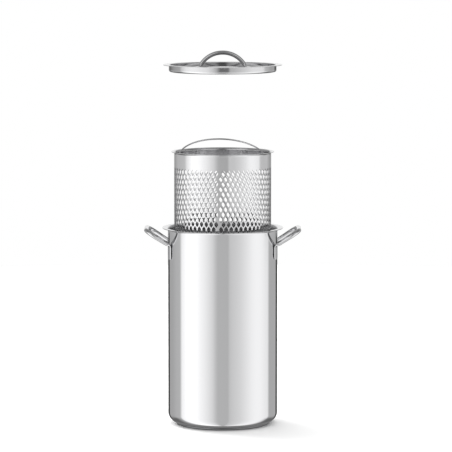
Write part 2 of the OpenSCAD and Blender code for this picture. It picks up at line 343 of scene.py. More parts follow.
class Polish:
    """Node group shared by the metals: fine lines along a lay, and wear in the roughness."""

    NAME = "polish_lines"
    WEAR_SCALE = 34.0
    LINES_SHARE = 0.5
    LEAST_ROUGHNESS = 0.02

    @classmethod
    def group(cls) -> Tree:
        """Makes the group, or finds it.

        Returns:
            A group that turns a place, a lay, a depth, a roughness and its spread into a roughness
            and a normal.
        """
        found = bpy.data.node_groups.get(cls.NAME)
        if found:
            return found
        tree = bpy.data.node_groups.new(cls.NAME, "ShaderNodeTree")
        for name, kind in (
            ("Place", "NodeSocketVector"),
            ("Lay", "NodeSocketVector"),
            ("Depth", "NodeSocketFloat"),
            ("Base", "NodeSocketFloat"),
            ("Spread", "NodeSocketFloat"),
        ):
            tree.interface.new_socket(name, in_out="INPUT", socket_type=kind)
        tree.interface.new_socket("Roughness", in_out="OUTPUT", socket_type="NodeSocketFloat")
        tree.interface.new_socket("Normal", in_out="OUTPUT", socket_type="NodeSocketVector")
        source = tree.nodes.new("NodeGroupInput")
        sink = tree.nodes.new("NodeGroupOutput")
        link = tree.links.new
        along = tree.nodes.new("ShaderNodeVectorMath")
        along.operation = "MULTIPLY"
        link(source.outputs["Place"], along.inputs[0])
        link(source.outputs["Lay"], along.inputs[1])
        lines = add_node(tree, "ShaderNodeTexNoise", Scale=1.0, Detail=2.0, Roughness=0.6)
        link(along.outputs[0], lines.inputs["Vector"])
        wear = add_node(
            tree, "ShaderNodeTexNoise", Scale=cls.WEAR_SCALE, Detail=4.0, Roughness=0.55
        )
        link(source.outputs["Place"], wear.inputs["Vector"])
        share = math_node(tree, "MULTIPLY", lines.outputs[0], cls.LINES_SHARE)
        mixed = math_node(tree, "ADD", wear.outputs[0], share)
        # Both noises lie about 0.5, so this is the mix's middle
        centred = math_node(tree, "SUBTRACT", mixed, 0.5 * (1 + cls.LINES_SHARE))
        offset = math_node(tree, "MULTIPLY", centred, source.outputs["Spread"])
        rough = math_node(tree, "ADD", offset, source.outputs["Base"])
        rough = math_node(tree, "MAXIMUM", rough, cls.LEAST_ROUGHNESS)
        link(rough, sink.inputs["Roughness"])
        bump = add_node(tree, "ShaderNodeBump", Strength=1.0)
        link(lines.outputs[0], bump.inputs["Height"])
        link(source.outputs["Depth"], bump.inputs["Distance"])
        link(bump.outputs[0], sink.inputs["Normal"])
        return tree


@cache
def metal_material(metal: Metal) -> bpy.types.Material:
    """Makes the material of a metal once.

    Args:
        metal: the metal.

    Returns:
        Its material.
    """
    finish = metal.value
    material = bpy.data.materials.new(f"{metal.name.lower()}_metal")
    tree = empty_tree(material)
    link = tree.links.new
    output = tree.nodes.new("ShaderNodeOutputMaterial")
    shader = add_node(
        tree, "ShaderNodeBsdfPrincipled", Base_Color=(*finish.colour, 1.0), Metallic=finish.metallic
    )
    place = tree.nodes.new("ShaderNodeTexCoord")
    polish = tree.nodes.new("ShaderNodeGroup")
    polish.node_tree = Polish.group()
    settings = (finish.lay.value, finish.depth, finish.roughness, finish.spread)
    for name, value in zip(("Lay", "Depth", "Base", "Spread"), settings):
        polish.inputs[name].default_value = value
    link(place.outputs["Object"], polish.inputs["Place"])
    link(polish.outputs["Roughness"], shader.inputs["Roughness"])
    link(polish.outputs["Normal"], shader.inputs["Normal"])
    link(shader.outputs[0], output.inputs["Surface"])
    return material


@dataclass
class Surface:
    """Points and faces of a closed surface.

    Attributes:
        points: (n, 3) places.
        quads: (m, 4) faces of four corners.
        tris: (k, 3) faces of three corners.
    """

    points: Array
    quads: Array = field(default_factory=lambda: np.zeros((0, 4), np.int64))
    tris: Array = field(default_factory=lambda: np.zeros((0, 3), np.int64))

    @property
    def triangles(self) -> Array:
        """All faces cut into triangles."""
        return np.vstack([self.tris, self.quads[:, [0, 1, 2]], self.quads[:, [0, 2, 3]]])

    @property
    def volume(self) -> float:
        """Signed volume: positive where the faces look outward."""
        a, b, c = (self.points[self.triangles[:, k]] for k in range(3))
        return float(np.einsum("ij,ij->i", a, np.cross(b, c)).sum() / 6)

    def outward(self) -> "Surface":
        """The same surface, its faces turned outward.

        Returns:
            This surface, or its copy with every face turned round.
        """
        if self.volume >= 0:
            return self
        return Surface(self.points, self.quads[:, ::-1], self.tris[:, ::-1])

    def mirrored(self) -> "Surface":
        """The surface on the other side of the YZ plane."""
        return Surface(self.points * np.array([-1.0, 1.0, 1.0]), self.quads, self.tris).outward()

    @staticmethod
    def joined(*parts: "Surface") -> "Surface":
        """Several surfaces as one, with points that coincide welded.

        Args:
            *parts: the surfaces.

        Returns:
            One surface with the faces of all of them.
        """
        starts = np.cumsum([0, *(len(p.points) for p in parts)])
        points = np.vstack([p.points for p in parts])
        quads = np.vstack([p.quads + s for p, s in zip(parts, starts)])
        tris = np.vstack([p.tris + s for p, s in zip(parts, starts)])
        _, first, which = np.unique(
            np.round(points, 8), axis=0, return_index=True, return_inverse=True
        )
        which = which.reshape(-1)
        return Surface(points[first], which[quads], which[tris])


def circle(sides: int) -> Array:
    """Angles of the sides of a full turn."""
    return np.linspace(0, 2 * math.pi, sides, endpoint=False)


def unit(v: Array) -> Array:
    """Vectors at length 1."""
    return v / np.linalg.norm(v, axis=-1, keepdims=True)


def fillet(a: Array, b: Array, c: Array, r: float, steps: int) -> Array:
    """Points of the arc that rounds the corner b between a and c.

    Args:
        a: a point before the corner.
        b: the corner.
        c: a point after the corner.
        r: the arc's radius.
        steps: pieces in the arc.

    Returns:
        steps + 1 points, with a guard point just outside each end.
    """
    u, v = unit(a - b), unit(c - b)
    half = math.acos(float(np.clip(u @ v, -1, 1))) / 2
    inward, along = unit(u + v), unit(u - v)
    centre = b + inward * r / math.sin(half)
    t = (math.pi / 2 - half) * np.linspace(1, -1, steps + 1)[:, None]
    arc = centre + r * (along * np.sin(t) - inward * np.cos(t))
    guard = min(0.3 * MM, 0.2 * r)
    return np.vstack([arc[0] + u * guard, arc, arc[-1] + v * guard])


def rounded(points: Array, radii: tuple[float, ...], steps: int = 10) -> Array:
    """A path through the points with its inner corners rounded.

    Args:
        points: the path's corners.
        radii: one radius for each inner corner.
        steps: pieces in each arc.

    Returns:
        The rounded path.
    """
    arcs = [
        fillet(points[i], points[i + 1], points[i + 2], r, steps) for i, r in enumerate(radii)
    ]
    return np.vstack([points[:1], *arcs, points[-1:]])


def filled(path: Array, longest: float) -> Array:
    """The path with points added so that no stretch is longer than the length given.

    Args:
        path: the path's points.
        longest: the longest stretch between two points.

    Returns:
        The path with its own points and the added ones.
    """
    lengths = np.linalg.norm(np.diff(path, axis=0), axis=1)
    counts = np.maximum(1, np.ceil(lengths / longest).astype(int))
    runs = [
        a + (b - a) * np.linspace(0, 1, n, endpoint=False)[:, None]
        for a, b, n in zip(path[:-1], path[1:], counts)
    ]
    return np.vstack([*runs, path[-1:]])


def headings(path: Array) -> Array:
    """Direction of the path at each of its points.

    Args:
        path: the path's points.

    Returns:
        For each point, the unit vector from the point before it to the one after it.
    """
    ahead = np.vstack([path[1:], path[-1:]])
    behind = np.vstack([path[:1], path[:-1]])
    return unit(ahead - behind)


def sheet_outline(path: Array, sheet: float) -> Array:
    """Outline of a sheet whose middle follows a path from the axis outward.

    Args:
        path: [radius, height] points of the sheet's middle.
        sheet: the sheet's thickness.

    Returns:
        The outline, with a half-round free edge.
    """
    d = headings(path)
    square = np.stack([-d[:, 1], d[:, 0]], axis=1)
    square[path[:, 0] == 0] = (0, 1)
    turn = np.linspace(0, math.pi, 7)[1:-1, None]
    end = path[-1] - d[-1] * sheet / 2
    path = np.vstack([path[:-1], end])
    edge = end + sheet / 2 * (square[-1] * np.cos(turn) + d[-1] * np.sin(turn))
    return np.vstack([path + square * sheet / 2, edge, (path - square * sheet / 2)[::-1]])


def lathe(profile: Array, angles: Array) -> Surface:
    """Turns a profile about the Z axis.

    Args:
        profile: [radius, height] points; a radius of 0 makes a pole.
        angles: azimuths of the sides, from the front and growing to the right.

    Returns:
        The turned surface, faces unsorted.
    """
    n = len(angles)
    poles = profile[:, 0] < 1e-9
    starts = np.cumsum(np.concatenate([[0], np.where(poles, 1, n)]))[:-1]
    around = np.stack([np.sin(angles), -np.cos(angles)], axis=1)
    rows = [
        np.array([[0.0, 0.0, z]])
        if pole
        else np.column_stack([r * around, np.full(n, z)])
        for (r, z), pole in zip(profile, poles)
    ]
    k = np.arange(n)
    k2 = (k + 1) % n
    quads, tris = [], []
    for i in range(len(profile) - 1):
        j = i + 1
        if poles[i]:
            tris.append(np.stack([np.full(n, starts[i]), starts[j] + k2, starts[j] + k], axis=1))
        elif poles[j]:
            tris.append(np.stack([starts[i] + k, starts[i] + k2, np.full(n, starts[j])], axis=1))
        else:
            quads.append(
                np.stack([starts[i] + k, starts[i] + k2, starts[j] + k2, starts[j] + k], axis=1)
            )
    surface = Surface(np.vstack(rows))
    if quads:
        surface.quads = np.vstack(quads)
    if tris:
        surface.tris = np.vstack(tris)
    return surface


def turned_sheet(corners: Array, radii: tuple[float, ...], sheet: float) -> Surface:
    """A sheet turned about the axis from the corners of its middle line."""
    path = filled(rounded(corners, radii), TURNED_STEP)
    return lathe(sheet_outline(path, sheet), circle(ROUND)).outward()


def swept(path: Array, wide: Array, half_w: Array, half_t: Array, sides: int = 28) -> Surface:
    """Sweeps an ellipse along a path.

    Args:
        path: (n, 3) middle points.
        wide: (n, 3) directions in which the section is wide.
        half_w: (n,) half widths.
        half_t: (n,) half thicknesses.
        sides: sides of the section.

    Returns:
        The closed rod.
    """
    d = headings(path)
    up = unit(np.cross(wide, d))
    side = np.cross(d, up)
    t = circle(sides)
    rings = (
        path[:, None]
        + side[:, None] * (half_w[:, None] * np.cos(t))[..., None]
        + up[:, None] * (half_t[:, None] * np.sin(t))[..., None]
    )
    n = len(path)
    i, k = np.meshgrid(np.arange(n - 1), np.arange(sides), indexing="ij")
    a, b = i * sides + k, i * sides + (k + 1) % sides
    quads = np.stack([a, b, b + sides, a + sides], axis=-1).reshape(-1, 4)
    k = np.arange(sides)
    last = (n - 1) * sides
    tris = np.vstack(
        [
            np.stack([np.full(sides, n * sides), (k + 1) % sides, k], axis=1),
            np.stack([np.full(sides, n * sides + 1), last + k, last + (k + 1) % sides], axis=1),
        ]
    )
    return Surface(np.vstack([rings.reshape(-1, 3), path[:1], path[-1:]]), quads, tris).outward()


def ease(t: Array) -> Array:
    """From 0 to 1 with a soft start and end."""
    k = np.clip(t, 0, 1)
    return k * k * (3 - 2 * k)


def footed_rod(
    path: Array, wide: Array, rod_r: float, foot_w: float, foot_t: float, flat: float, press: float
) -> Surface:
    """A rod along a path, its two ends pressed into flat feet.

    Args:
        path: middle points of the rod.
        wide: directions in which the section is wide.
        rod_r: radius of the rod.
        foot_w: width of a foot.
        foot_t: thickness of a foot.
        flat: length of the flat stretch.
        press: run over which the rod grows round again.

    Returns:
        The closed rod.
    """
    run = np.concatenate([[0], np.cumsum(np.linalg.norm(np.diff(path, axis=0), axis=1))])
    from_end = np.minimum(run, run[-1] - run)
    pressed = 1 - ease((from_end - flat) / press)
    blunt = 0.25  # share of the round tip that is left out at the end
    tip = np.sqrt(1 - np.square(1 - np.minimum(1, blunt + from_end / (foot_w / 2))))
    half_w = rod_r + (foot_w / 2 * tip - rod_r) * pressed
    half_t = rod_r + (foot_t / 2 - rod_r) * pressed
    return swept(path, wide, half_w, half_t)


def new_object(name: str, surface: Surface, *materials: bpy.types.Material) -> bpy.types.Object:
    """Makes an object from a surface.

    Args:
        name: the object's name.
        surface: its surface.
        materials: its materials.

    Returns:
        The object, in the scene.
    """
    mesh = bpy.data.meshes.new(name)
    faces = [*surface.quads.tolist(), *surface.tris.tolist()]
    mesh.from_pydata(surface.points.tolist(), [], faces)
    for material in materials:
        mesh.materials.append(material)
    piece = bpy.data.objects.new(name, mesh)
    bpy.context.scene.collection.objects.link(piece)
    return piece


@dataclass
class Piece:
    """One piece of the object as Blender shows it.

    Attributes:
        name: the object's name.
        surface: its closed surface.
        metal: what it is made of.
        body: the body it rides on.
        nodes: the nodes it stands for.
        bore: radius within which faces that look up or to the axis are lined, or 0 for none.
        lining: the finish of those faces.
    """

    name: str
    surface: Surface
    metal: Metal
    body: str
    nodes: tuple[str, ...]
    bore: float = 0.0
    lining: Metal = Metal.BORE

    def inside(self, mesh: bpy.types.Mesh) -> Array:
        """1 for each face that looks into the vessel, and 0 for the others.

        Args:
            mesh: the piece's mesh.

        Returns:
            The material's number for each face.
        """
        normals, centres = (np.empty(len(mesh.polygons) * 3, np.float32) for _ in range(2))
        mesh.polygons.foreach_get("normal", normals)
        mesh.polygons.foreach_get("center", centres)
        normals, centres = normals.reshape(-1, 3), centres.reshape(-1, 3)
        r = np.hypot(centres[:, 0], centres[:, 1])
        inward = -(normals[:, :2] * centres[:, :2]).sum(axis=1) / np.maximum(r, 1e-6)
        least_inward, least_up = 0.3, 0.5
        lined = (inward > least_inward) | (normals[:, 2] > least_up)
        return ((r < self.bore) & lined).astype(np.int32)

    def place(self) -> None:
        """Makes the object and hangs it on its body."""
        metals = (self.metal, self.lining) if self.bore else (self.metal,)
        piece = new_object(self.name, self.surface, *map(metal_material, metals))
        mesh = piece.data
        mesh.validate()
        mesh.shade_smooth()
        mesh.set_sharp_from_angle(angle=SHARP)
        if self.bore:
            mesh.polygons.foreach_set("material_index", self.inside(mesh))
        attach(piece, self.body)
        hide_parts(*self.nodes)
        log.info("%s: %d triangles", self.name, len(self.surface.triangles))


@dataclass
class Pot:
    """The drawn pot: its shell, its base cap and its two side handles.

    Attributes:
        sizes: the shell's and the base's sizes.
        grip: the side handles' sizes.
    """

    sizes: PotSizes
    grip: GripSizes

    def shell(self) -> Surface:
        """The pot's sheet, from the middle of its bottom to the pouring rim.

        Returns:
            A closed sheet, turned from a path along the bottom and up the wall.
        """
        s = self.sizes
        mid = s.sheet / 2
        wall, floor, rim = s.radius - mid, s.base_height + mid, s.height - mid
        corners = np.array([[0, floor], [wall, floor], [wall, rim], [s.rim_radius, rim]])
        return turned_sheet(corners, (s.corner_r - mid, s.rim_r + mid), s.sheet)

    def cap(self) -> Surface:
        """The steel cap under the bottom.

        Returns:
            A closed sheet, turned from a path along the cap and up its edge.
        """
        s = self.sizes
        mid = s.cap_sheet / 2
        edge = s.base_radius - mid
        top = s.base_height + s.cap_rise - s.cap_gap
        corners = np.array([[0, mid], [edge, mid], [edge, top]])
        return turned_sheet(corners, (s.cap_edge_r - mid,), s.cap_sheet)

    def handle(self) -> Surface:
        """The right-hand handle: a loop that rises outward from two flat feet on the wall.

        Returns:
            A rod swept along a path that is mirrored at the XZ plane: foot, knee, corner, bar.
        """
        g = self.grip
        turn = math.asin(g.root_w / 2 / self.sizes.radius)
        out = np.array([math.cos(turn), math.sin(turn), 0.0])
        across = np.array([-math.sin(turn), math.cos(turn), 0.0])
        rise_z = np.array([0.0, 0.0, 1.0])
        wall = self.sizes.radius + g.foot_t / 2 + WELD_GAP
        foot = out * wall + rise_z * (g.root_z - g.foot_h)
        knee = out * wall + rise_z * g.root_z
        bar = out * (g.reach - g.rod_r) / math.cos(turn) + rise_z * g.tip_z
        middle = bar * np.array([1.0, 0.0, 1.0])
        knee_arc = fillet(foot, knee, bar, g.knee_r, 12)
        corner_arc = fillet(knee, bar, middle, g.corner_r, 14)
        half = filled(np.vstack([foot, knee_arc, corner_arc, middle]), g.step)
        flip = np.array([1.0, -1.0, 1.0])
        path = np.vstack([half, half[-2::-1] * flip])
        # A foot is wide along the wall, and the bar across its own plane
        margin = 0.1 * MM
        in_foot = (path[:, 2] < knee_arc[-1, 2] + margin)[:, None]
        near = (path[:, 1] > 0)[:, None]
        in_plane = np.cross(headings(path), unit(np.cross([0.0, 1.0, 0.0], bar - knee)))
        wide = np.where(in_foot, np.where(near, across, across * flip), in_plane)
        # A ring's order stays the same along the rod
        wide *= np.where(np.einsum("ij,ij->i", wide, in_plane) < 0, -1.0, 1.0)[:, None]
        flat = float(np.linalg.norm(knee_arc[1] - foot))
        return footed_rod(path, wide, g.rod_r, g.foot_w, g.foot_t, flat, PRESS_RUN * g.knee_r)

    def pieces(self) -> list[Piece]:
        """All pieces of the pot.

        Returns:
            The shell, the base cap and the two handles.
        """
        right = self.handle()
        bore = self.sizes.radius
        return [
            Piece("pot_shell", self.shell(), Metal.POLISHED, "pot", ("pot_body",), bore),
            Piece("pot_base_cap", self.cap(), Metal.SHADED_SATIN, "pot", ("base_cap",)),
            Piece("pot_handle_right", right, Metal.ROD, "pot", ("side_handle_right",)),
            Piece("pot_handle_left", right.mirrored(), Metal.ROD, "pot", ("side_handle_left",)),
        ]


@dataclass
class Lid:
    """The plug lid with its crowned panel, its groove and its arched handle.

    Attributes:
        sizes: the pressed sheet's sizes.
        knob: the handle's sizes.
    """

    sizes: LidSizes
    knob: KnobSizes

    def shell(self) -> Surface:
        """The pressed sheet: crown, groove, plug wall and flange.

        Returns:
            A closed sheet, turned from a path that starts on the crown's circle.
        """
        s = self.sizes
        plug = s.plug_radius - s.sheet / 2
        groove_z = s.flange_z - s.plug_h + s.sheet / 2
        flange_z = s.flange_z + s.sheet / 2
        r = np.linspace(0, s.panel_radius, 30)
        crown = np.stack([r, s.top_z - s.sheet / 2 - s.fall(r)], axis=1)
        groove_r = (s.panel_radius + plug) / 2 - s.sheet
        groove = [[groove_r, groove_z], [plug, groove_z]]
        flange = [[plug, flange_z], [s.radius, flange_z]]
        rim = rounded(np.array([crown[-1], *groove, *flange]), s.bends)
        path = filled(np.vstack([crown, rim[1:]]), FINE_STEP)
        return lathe(sheet_outline(path, s.sheet), circle(ROUND)).outward()

    def handle(self) -> Surface:
        """The arch of rod on two flat feet.

        Returns:
            A rod swept along a path that is mirrored at the YZ plane: foot, knee, arch.
        """
        s, k = self.sizes, self.knob
        # A straight foot clears the crown's bulge between its ends
        lift = k.foot_t / 2 + WELD_GAP + k.foot_l**2 / (8 * s.crown_r)
        top_z = s.top_z - s.fall(k.width / 2) + k.height - k.rod_r
        foot_x = k.width / 2 + k.foot_l
        foot = np.array([foot_x, 0.0, s.top_z - s.fall(foot_x) + lift])
        knee = np.array([k.width / 2, 0.0, s.top_z - s.fall(k.width / 2) + lift])
        top = np.array([k.width / 2 - (top_z - knee[2]) / math.tan(k.slope), 0.0, top_z])
        middle = np.array([0.0, 0.0, top_z])
        arch_r = k.arch_fit * top[0] / math.tan(k.slope / 2)
        knee_arc = fillet(foot, knee, top, k.knee_r, 10)
        arch = fillet(knee, top, middle, arch_r, 24)
        half = filled(np.vstack([foot, knee_arc, arch[:-1], middle]), k.step)
        path = np.vstack([half, half[-2::-1] * np.array([-1.0, 1.0, 1.0])])
        wide = np.tile([0.0, 1.0, 0.0], (len(path), 1))
        flat = float(np.linalg.norm(knee_arc[1] - foot))
        return footed_rod(path, wide, k.rod_r, k.foot_w, k.foot_t, flat, PRESS_RUN * k.knee_r)

    def pieces(self) -> list[Piece]:
        """All pieces of the lid.

        Returns:
            The pressed sheet and the handle.
        """
        return [
            Piece("lid_pressing", self.shell(), Metal.POLISHED, "lid", ("lid_shell",)),
            Piece("lid_arch", self.handle(), Metal.ROD, "lid", ("lid_handle",)),
        ]


@dataclass
class Strainer:
    """The perforated insert: a rolled sheet with staggered long holes and a flared rim.

    Attributes:
        sizes: the wall's sizes.
    """

    sizes: StrainerSizes

    def __post_init__(self) -> None:
        """Lays out the lattice."""
        sizes = self.sizes
        self.half = sizes.pitch / 2
        # A lattice cell is a long hexagon: its apex and its side's half height share a row's step
        fall = sizes.slope * self.half * sizes.radius
        self.apex = (sizes.row_step + fall) / 2
        self.side = (sizes.row_step - fall) / 2
        self.top_row = sizes.rim_z - sizes.band_top - sizes.hole_apex + sizes.apex_loss
        room = self.top_row - sizes.foot_z - sizes.band_foot - sizes.hole_apex
        self.rows = int(room / sizes.row_step) + 1

    def cell(self) -> tuple[Array, Array]:
        """Corners of one lattice cell and of its hole, each [angle, height], counter-clockwise.

        Returns:
            The cell's six corners, and the hole's twelve with its corners cut.
        """
        s = self.sizes
        h, a, b = self.half, self.apex, self.side
        outer = np.array([[h, -b], [h, b], [0, a], [-h, b], [-h, -b], [0, -a]])
        w, p, q = s.hole_half_w, s.hole_apex, s.hole_side
        hole = np.array([[w, -q], [w, q], [0, p], [-w, q], [-w, -q], [0, -p]])
        cut = np.array([s.side_cut, s.side_cut, s.apex_cut] * 2)[:, None]
        before = hole + cut * unit(np.roll(hole, 1, axis=0) - hole)
        after = hole + cut * unit(np.roll(hole, -1, axis=0) - hole)
        ring = np.stack([before, after], axis=1).reshape(-1, 2)
        return outer, ring / np.array([s.radius, 1.0])

    def centres(self) -> Array:
        """[angle, height] of every hole: rows are staggered, with one plain strip for the seam.

        Returns:
            One row of the array for each hole.
        """
        s = self.sizes
        row, col = np.meshgrid(np.arange(self.rows), np.arange(s.columns), indexing="ij")
        angle = s.seam_turn + s.seam / 2 + (col + 0.5) * s.pitch - (row % 2) * self.half
        return np.stack([angle, self.top_row - row * s.row_step], axis=-1).reshape(-1, 2)

    @staticmethod
    def on_wall(flat: Array, r: float) -> Array:
        """[angle, height] points laid on the wall at a radius."""
        angle, height = flat[..., 0], flat[..., 1]
        return np.stack([r * np.sin(angle), -r * np.cos(angle), height], axis=-1)

    def lattice(self) -> Surface:
        """Both faces of the punched field and the walls of its holes.

        Returns:
            A ring of faces between each cell and its hole, on both faces, and each hole's wall.
        """
        s = self.sizes
        outer, ring = self.cell()
        centres = self.centres()
        flat = centres[:, None] + np.vstack([outer, ring])
        sides = [self.on_wall(flat, r).reshape(-1, 3) for r in (s.radius, s.radius - s.sheet)]
        n, m = len(outer), len(ring)
        base = (np.arange(len(centres)) * (n + m))[:, None, None]
        back = len(centres) * (n + m)
        i = np.arange(n)
        j = (i + 1) % n
        tris = np.stack([i, n + 2 * i + 1, n + 2 * i], axis=1)
        quads = np.stack([i, j, n + 2 * j, n + 2 * i + 1], axis=1)
        face_tris = (tris[None] + base).reshape(-1, 3)
        face_quads = (quads[None] + base).reshape(-1, 4)
        k = n + np.arange(m)
        k2 = n + (np.arange(m) + 1) % m
        walls = np.stack([k, k2, k2 + back, k + back], axis=1)
        wall_quads = (walls[None] + base).reshape(-1, 4)
        return Surface(
            np.vstack(sides),
            np.vstack([face_quads, face_quads[:, ::-1] + back, wall_quads]),
            np.vstack([face_tris, face_tris[:, ::-1] + back]),
        )

    def zigzag(self, start: float) -> Array:
        """The field's side edge, from the top row down, as [angle, height] points.

        Args:
            start: the edge's angle in the top row.

        Returns:
            Two points for each row, at the upper and the lower end of a cell's side.
        """
        s = self.sizes
        row = np.arange(self.rows)
        angle = start - (row % 2) * self.half
        top = self.top_row - row * s.row_step
        upper = np.stack([angle, top + self.side], axis=1)
        lower = np.stack([angle, top - self.side], axis=1)
        return np.stack([upper, lower], axis=1).reshape(-1, 2)

    def strip(self, r: float, flip: bool) -> Surface:
        """The plain strip along the seam, on one face of the sheet.

        Args:
            r: radius of the sheet's face.
            flip: whether the face looks inward.

        Returns:
            The strip between two zigzag edges.
        """
        s = self.sizes
        left = self.zigzag(s.seam_turn - s.seam / 2)
        right = left + np.array([s.seam, 0.0])
        n = len(left)
        k = np.arange(n - 1)
        quads = np.stack([k, k + 1, k + 1 + n, k + n], axis=1)
        return Surface(self.on_wall(np.vstack([left, right]), r), quads[:, ::-1] if flip else quads)

    def edge(self, top: bool) -> Array:
        """The field's upper or lower edge all the way round, as [angle, height] points.

        Args:
            top: whether it is the upper edge.

        Returns:
            Points that alternate between a cell's side and its apex.
        """
        s = self.sizes
        row = 0 if top else self.rows - 1
        sign = 1.0 if top else -1.0
        shift = (row % 2) * self.half
        z = self.top_row - row * s.row_step
        k = np.arange(2 * s.columns + 1)
        angle = s.seam_turn + s.seam / 2 - shift + k * self.half
        height = z + sign * np.where(k % 2 == 0, self.side, self.apex)
        return np.stack([angle, height], axis=1)

    def band(self, top: bool) -> Surface:
        """The plain band above or below the field, with the flared rim or the foot.

        Args:
            top: whether it is the band above the field.

        Returns:
            The band, welded from its flat part on both faces and its turned part.
        """
        s = self.sizes
        edge = self.edge(top)
        line_z = edge[:, 1].max() + s.field_edge if top else edge[:, 1].min() - s.field_edge
        straight = np.stack([edge[:, 0], np.full(len(edge), line_z)], axis=1)
        n = len(edge)
        k = np.arange(n)
        k2 = (k + 1) % n
        fill = np.stack([k, k2, k2 + n, k + n], axis=1)
        if not top:
            fill = fill[:, ::-1]
        flat = np.vstack([edge, straight])
        sides = [
            Surface(self.on_wall(flat, s.radius), fill),
            Surface(self.on_wall(flat, s.radius - s.sheet), fill[:, ::-1]),
        ]
        return Surface.joined(*sides, self.ring(edge[:, 0], line_z, top))

    def ring(self, angles: Array, line_z: float, top: bool) -> Surface:
        """The turned part of a band, its faces outward.

        Args:
            angles: the angles of its sides, those of the field's edge.
            line_z: the height at which it meets the band's flat part.
            top: whether it is the flared rim.

        Returns:
            The outline of the rim or the foot, turned round the axis.
        """
        s = self.sizes
        mid = s.radius - s.sheet / 2
        if top:
            rim = s.rim_z - s.sheet / 2
            corners = np.array([[mid, line_z], [mid, rim], [s.rim_radius, rim]])
            path = filled(rounded(corners, (s.rim_r + s.sheet / 2,)), FINE_STEP)
        else:
            path = np.array([[mid, line_z], [mid, (line_z + s.foot_z) / 2], [mid, s.foot_z]])
        outline = sheet_outline(path, s.sheet)
        ring = lathe(outline, angles)
        r, z = outline.T
        clockwise = (np.roll(r, -1) - r) @ (np.roll(z, -1) + z) > 0
        return Surface(ring.points, ring.quads[:, ::-1]) if clockwise else ring

    def wall(self) -> Surface:
        """The whole punched wall as one closed surface.

        Returns:
            The lattice, the seam's strip and both bands, welded.
        """
        s = self.sizes
        return Surface.joined(
            self.lattice(),
            self.strip(s.radius, False),
            self.strip(s.radius - s.sheet, True),
            self.band(True),
            self.band(False),
        )

    def pieces(self) -> list[Piece]:
        """All pieces of the strainer that replace nodes.

        Returns:
            The punched wall.
        """
        nodes, bore = ("strainer_wall",), self.sizes.radius
        wall = self.wall()
        return [Piece("strainer_mesh", wall, Metal.SHEET, "strainer", nodes, bore, Metal.LINING)]


@dataclass
class Bail:
    """The wire bail that leans back from the strainer's ears.

    Attributes:
        sizes: the wire's sizes.
    """

    sizes: BailSizes

    def wire(self) -> Surface:
        """The bent wire: an arch, an elbow at each end and a pin through each ear.

        Returns:
            A round wire swept along two elbows and a half circle, leaned back about its pins.
        """
        s = self.sizes
        elbow = np.linspace(-math.pi / 2, -math.pi, 9)[:, None]
        bend = np.array([s.radius + s.elbow_r, s.elbow_r]) + s.elbow_r * np.hstack(
            [np.cos(elbow), np.sin(elbow)]
        )
        arc = np.linspace(0, math.pi / 2, 49)[1:, None]
        arch = np.array([0.0, s.elbow_r]) + s.radius * np.hstack([np.cos(arc), np.sin(arc)])
        tip = np.array([[s.tip, 0.0], [s.tip - s.tip_cut, 0.0]])
        half = np.vstack([tip, bend, arch])
        flat = np.vstack([half, half[-2::-1] * np.array([-1.0, 1.0])])
        cos, sin = math.cos(s.turn), math.sin(s.turn)
        turn = np.array([[cos, -sin, 0], [sin, cos, 0], [0, 0, 1]])
        lean = turn @ np.array([[1, 0], [0, math.cos(s.lean)], [0, math.sin(s.lean)]])
        path = flat @ lean.T + np.array([0.0, 0.0, s.pivot_z])
        wide = np.tile(np.cross(lean[:, 0], lean[:, 1]), (len(path), 1))
        radius = np.full(len(path), s.wire_r)
        radius[[0, -1]] -= s.tip_cut
        return swept(path, wide, radius, radius, sides=20)

    def pieces(self) -> list[Piece]:
        """The bail."""
        return [Piece("bail_wire", self.wire(), Metal.WIRE, "bail", ("bail",))]


